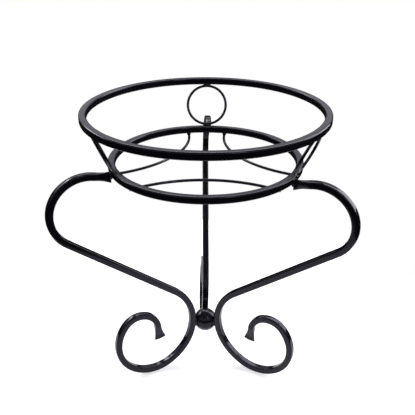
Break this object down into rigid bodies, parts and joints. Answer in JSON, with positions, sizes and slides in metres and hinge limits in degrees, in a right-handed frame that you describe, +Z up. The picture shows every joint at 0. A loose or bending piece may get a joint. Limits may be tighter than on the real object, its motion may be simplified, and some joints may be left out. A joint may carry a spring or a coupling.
{
  "type": "plant stand",
  "caption": "Single welded plant stand: a wide square-tube ring over a smaller one, joined by wire hoops, with wire pot rests and scrolled legs that meet at a ball, in gloss black enamel",
  "frame": {"origin": "On the stand's upright axis at floor level, below the ball and the middle of both rings", "axes": "+Z is up. +Y points to the back leg, away from the picture's viewer, and +X is to the viewer's right"},
  "size_m": [0.3236, 0.317, 0.334],
  "materials": {
    "enamel": "gloss black enamel",
    "weld_enamel": "gloss black enamel over weld beads"
  },
  "bodies": {
    "root": {"upper_ring": "enamel", "lower_ring": "enamel", "back_hoop": "enamel", "right_hoop": "enamel", "left_hoop": "enamel", "right_rest_wire": "enamel", "front_rest_wire": "enamel", "left_rest_wire": "enamel", "back_leg": "enamel", "right_leg": "enamel", "left_leg": "enamel", "centre_ball": "enamel", "hoop_top_welds": "weld_enamel", "hoop_bottom_welds": "weld_enamel", "rest_wire_welds": "weld_enamel", "leg_top_welds": "weld_enamel", "ball_welds": "weld_enamel"}
  },
  "joints": []
}
